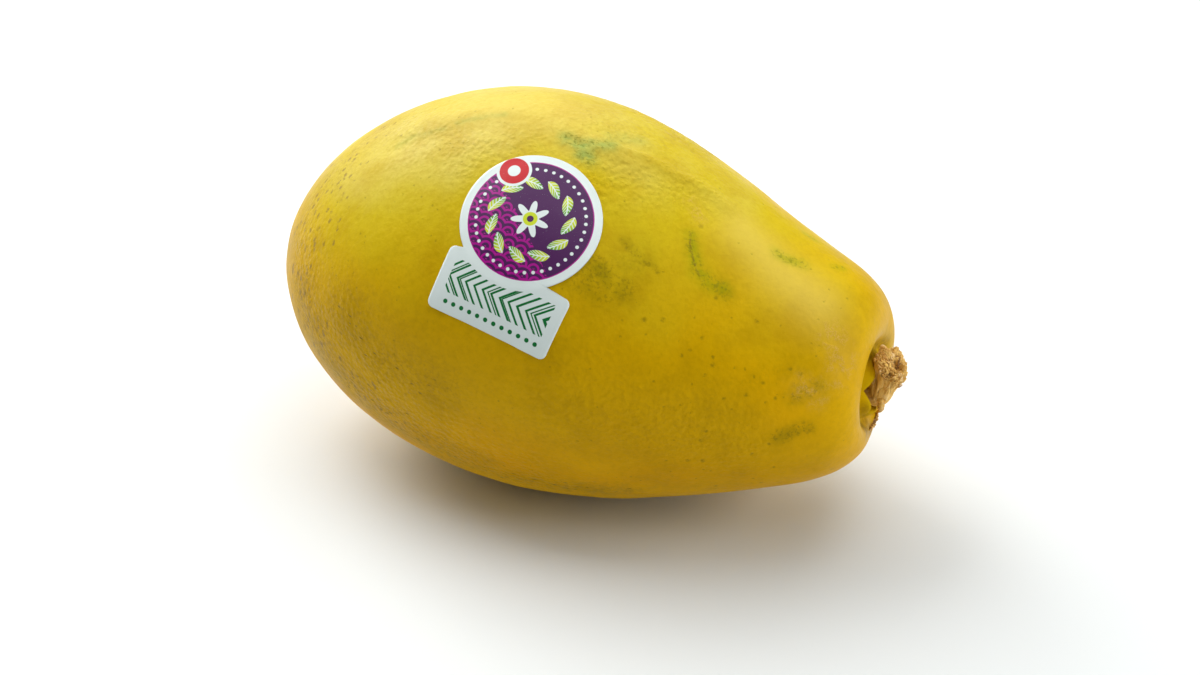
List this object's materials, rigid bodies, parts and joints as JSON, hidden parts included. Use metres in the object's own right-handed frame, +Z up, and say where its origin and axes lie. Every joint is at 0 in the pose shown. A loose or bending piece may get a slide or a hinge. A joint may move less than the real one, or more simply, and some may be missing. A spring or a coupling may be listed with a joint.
{
  "type": "papaya",
  "caption": "Ripe pear-shaped papaya lying on its side, with a dried, torn stem stub in its hollow and a round paper produce label with a rectangular tab.",
  "frame": {"origin": "bottom centre of the bounding box, on the surface the fruit lies on", "axes": "+X along the fruit from the blossom end to the stem end, +Z up"},
  "size_m": [0.159, 0.0974, 0.0971],
  "materials": {
    "skin": "satin, waxy, with fine leathery grain",
    "dried_stem": "dry, fibrous, rough",
    "label_paper": "semi-gloss printed"
  },
  "bodies": {
    "root": {"fruit": "skin", "stem": "dried_stem", "label": "label_paper"}
  },
  "joints": []
}
